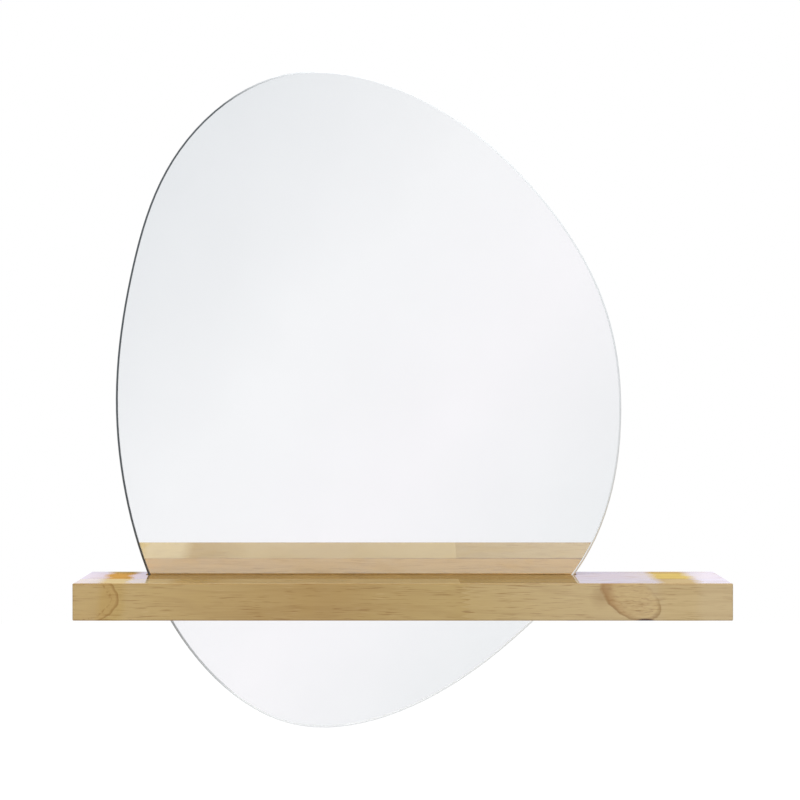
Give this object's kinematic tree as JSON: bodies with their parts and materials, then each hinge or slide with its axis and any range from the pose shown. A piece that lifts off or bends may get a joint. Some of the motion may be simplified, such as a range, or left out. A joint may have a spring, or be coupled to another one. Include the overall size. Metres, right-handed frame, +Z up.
{
  "type": "mirror with shelf",
  "caption": "Frameless pebble-shaped wall mirror that stands, leaning slightly forward, in a slanted slot through a thick glued pine shelf board.",
  "frame": {"origin": "midway between the entry holes of the keyhole plates, in the plane of the wall that the shelf's rear edge lies against", "axes": "+X to the right as the viewer faces the mirror, +Y from the viewer into the wall, +Z up"},
  "size_m": [0.6, 0.14, 0.6175],
  "materials": {
    "float_glass": "clear float glass, pencil-polished edge",
    "silver": "chemically silvered",
    "back_paint": "two-coat mirror backing paint, matte",
    "safety_film": "woven-backed polyethylene film",
    "pine_front_left": "satin clear lacquer",
    "pine_front_right": "satin clear lacquer",
    "pine_middle": "satin clear lacquer",
    "pine_rear": "satin clear lacquer",
    "felt": "pressed wool felt",
    "pad_rubber": "matte EPDM",
    "plate_steel": "bright zinc plated",
    "screw_steel": "yellow zinc plated steel",
    "bumper_rubber": "matte rubber"
  },
  "bodies": {
    "root": {"mirror_glass": "float_glass", "silver_layer": "silver", "back_paint": "back_paint", "safety_film": "safety_film", "front_stave_left": "pine_front_left", "front_stave_right": "pine_front_right", "middle_stave": "pine_middle", "rear_stave": "pine_rear", "felt_strip_front": "felt", "felt_strip_rear": "felt", "edge_pad_left": "pad_rubber", "edge_pad_right": "pad_rubber", "keyhole_plate_left": "plate_steel", "keyhole_plate_right": "plate_steel", "plate_screws": "screw_steel", "wall_bumper_left": "bumper_rubber", "wall_bumper_right": "bumper_rubber"}
  },
  "joints": []
}
